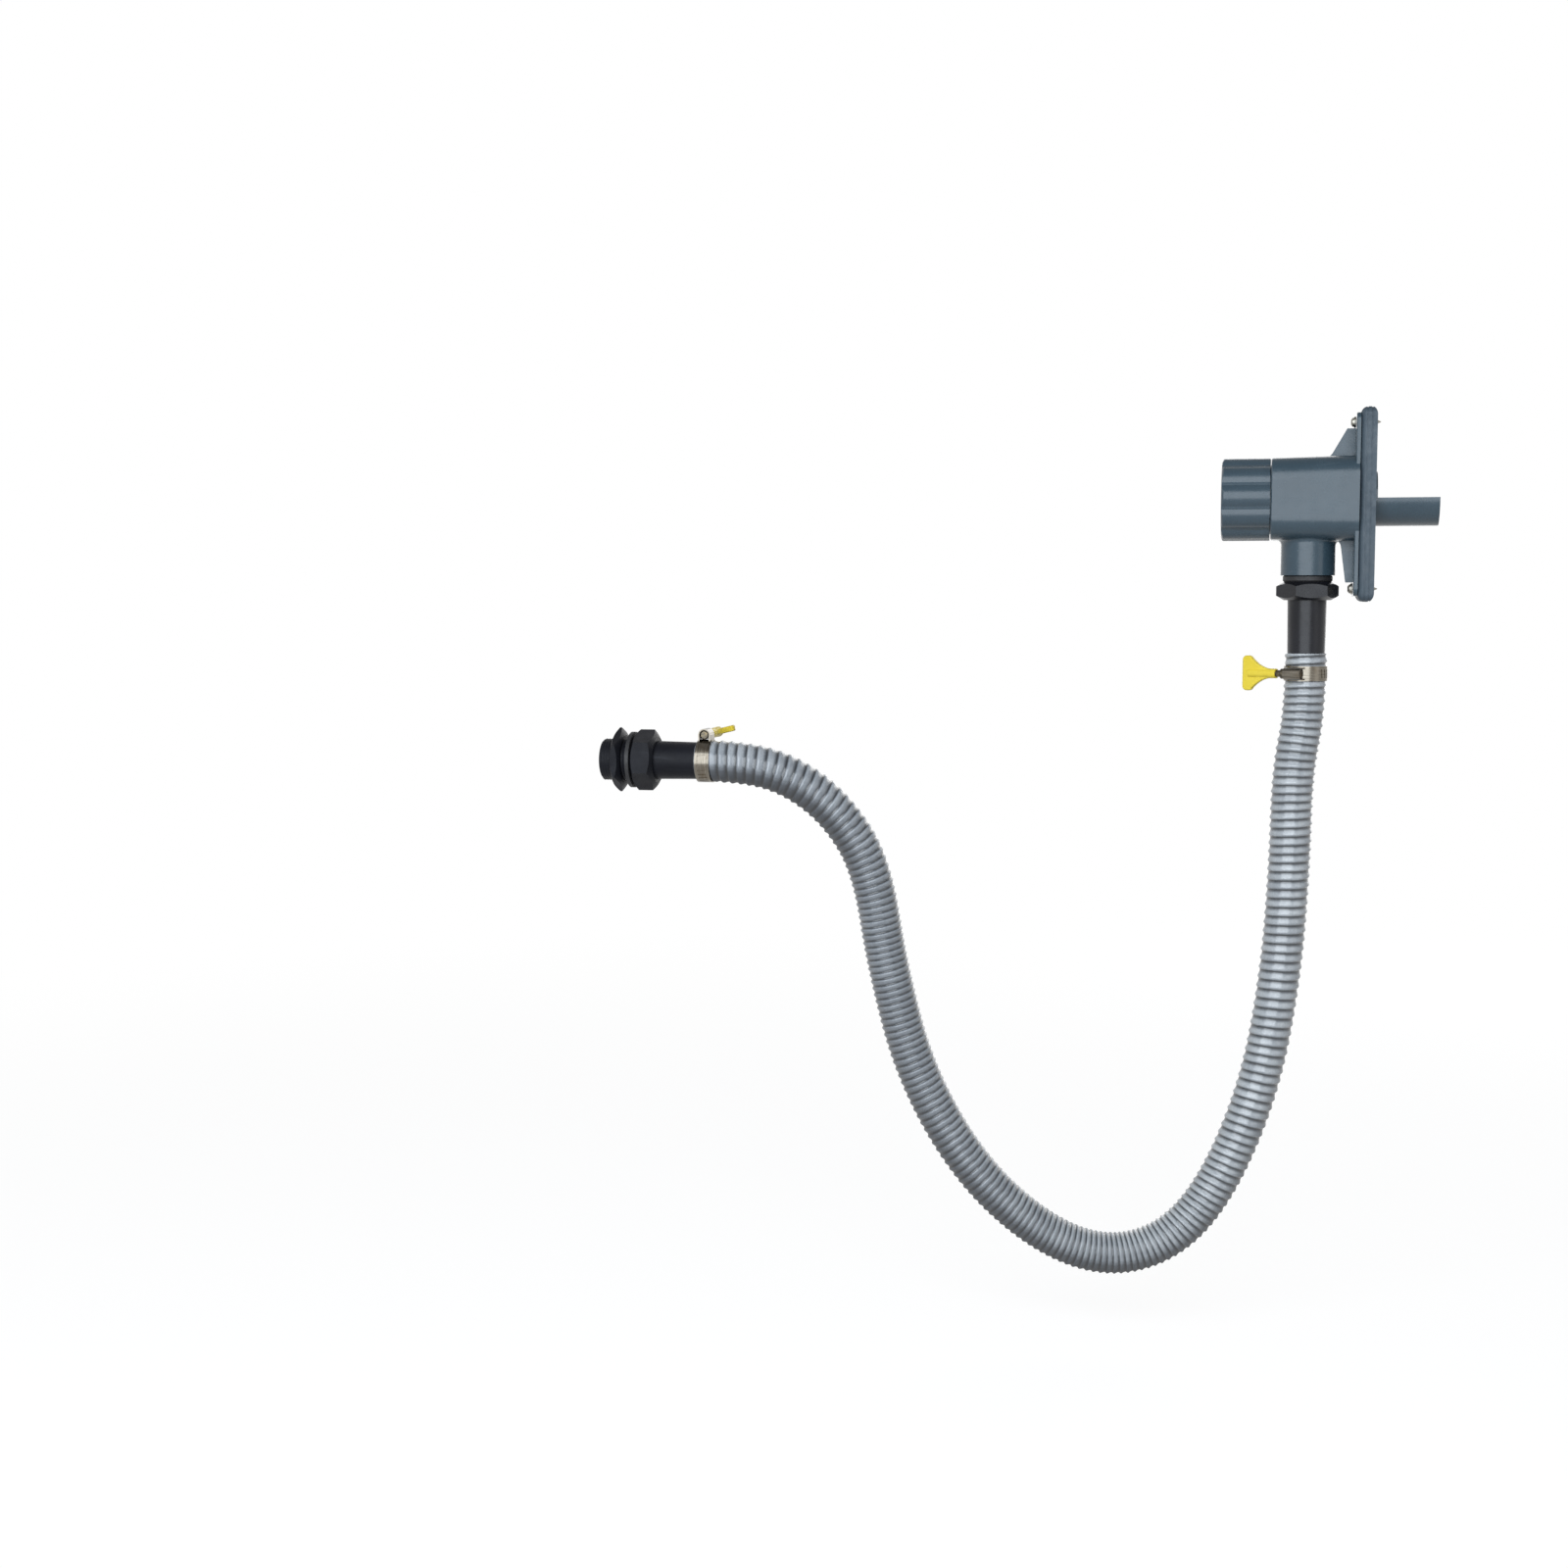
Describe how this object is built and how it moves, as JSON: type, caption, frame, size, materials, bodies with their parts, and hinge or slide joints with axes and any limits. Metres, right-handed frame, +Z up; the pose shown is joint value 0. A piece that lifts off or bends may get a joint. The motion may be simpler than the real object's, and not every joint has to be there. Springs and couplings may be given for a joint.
{
  "type": "rainwater diverter",
  "caption": "Downpipe rainwater diverter with a turning lobed selector knob, saddle flange, intake scoop, ribbed filling hose, wing-key clamps and a threaded tank tail.",
  "frame": {"origin": "on the downpipe's outer surface, where the valve chamber's axis meets it", "axes": "+X from the valve chamber into the downpipe, +Z up along the downpipe, +Y away from the viewer of the picture"},
  "size_m": [0.6668, 0.1674, 0.7156],
  "materials": {
    "slate_plastic": "satin moulded",
    "slate_rubber": "matt moulded",
    "black_plastic": "satin moulded",
    "black_rubber": "matt",
    "grey_hose": "satin ribbed",
    "clamp_steel": "bright rolled strip",
    "zinc_steel": "zinc plated",
    "yellow_plastic": "moulded"
  },
  "bodies": {
    "diverter": {"housing": "slate_plastic", "saddle_gasket": "slate_rubber", "intake_scoop": "slate_plastic", "fixing_screws": "zinc_steel", "fixing_washers": "zinc_steel", "outlet_seal": "black_rubber", "outlet_hose_tail": "black_plastic", "filling_hose": "grey_hose", "outlet_clamp_band": "clamp_steel", "outlet_clamp_housing": "clamp_steel", "tank_clamp_band": "clamp_steel", "tank_clamp_housing": "clamp_steel", "tank_hose_tail": "black_plastic", "tank_seal": "black_rubber", "tank_locknut": "black_plastic"},
    "selector": {"selector_knob": "slate_plastic", "valve_sleeve": "black_plastic", "spindle_o_ring": "black_rubber", "sleeve_screw": "zinc_steel"},
    "outlet_wing": {"outlet_clamp_screw": "zinc_steel", "outlet_clamp_key": "yellow_plastic"},
    "tank_wing": {"tank_clamp_screw": "zinc_steel", "tank_clamp_key": "yellow_plastic"}
  },
  "joints": [
    {"name": "selector_turn", "type": "hinge", "parent": "diverter", "child": "selector", "pos_m": [-0.0717, 0, 0], "axis": [1, 0, 0], "range_deg": [0, 90]},
    {"name": "outlet_clamp_turn", "type": "hinge", "parent": "diverter", "child": "outlet_wing", "pos_m": [-0.05114, -0.01907, -0.1413], "axis": [0.8829, -0.4695, 0], "continuous": true},
    {"name": "tank_clamp_turn", "type": "hinge", "parent": "diverter", "child": "tank_wing", "pos_m": [-0.5194, -0.11, -0.1914], "axis": [0, 1, 0], "continuous": true}
  ]
}
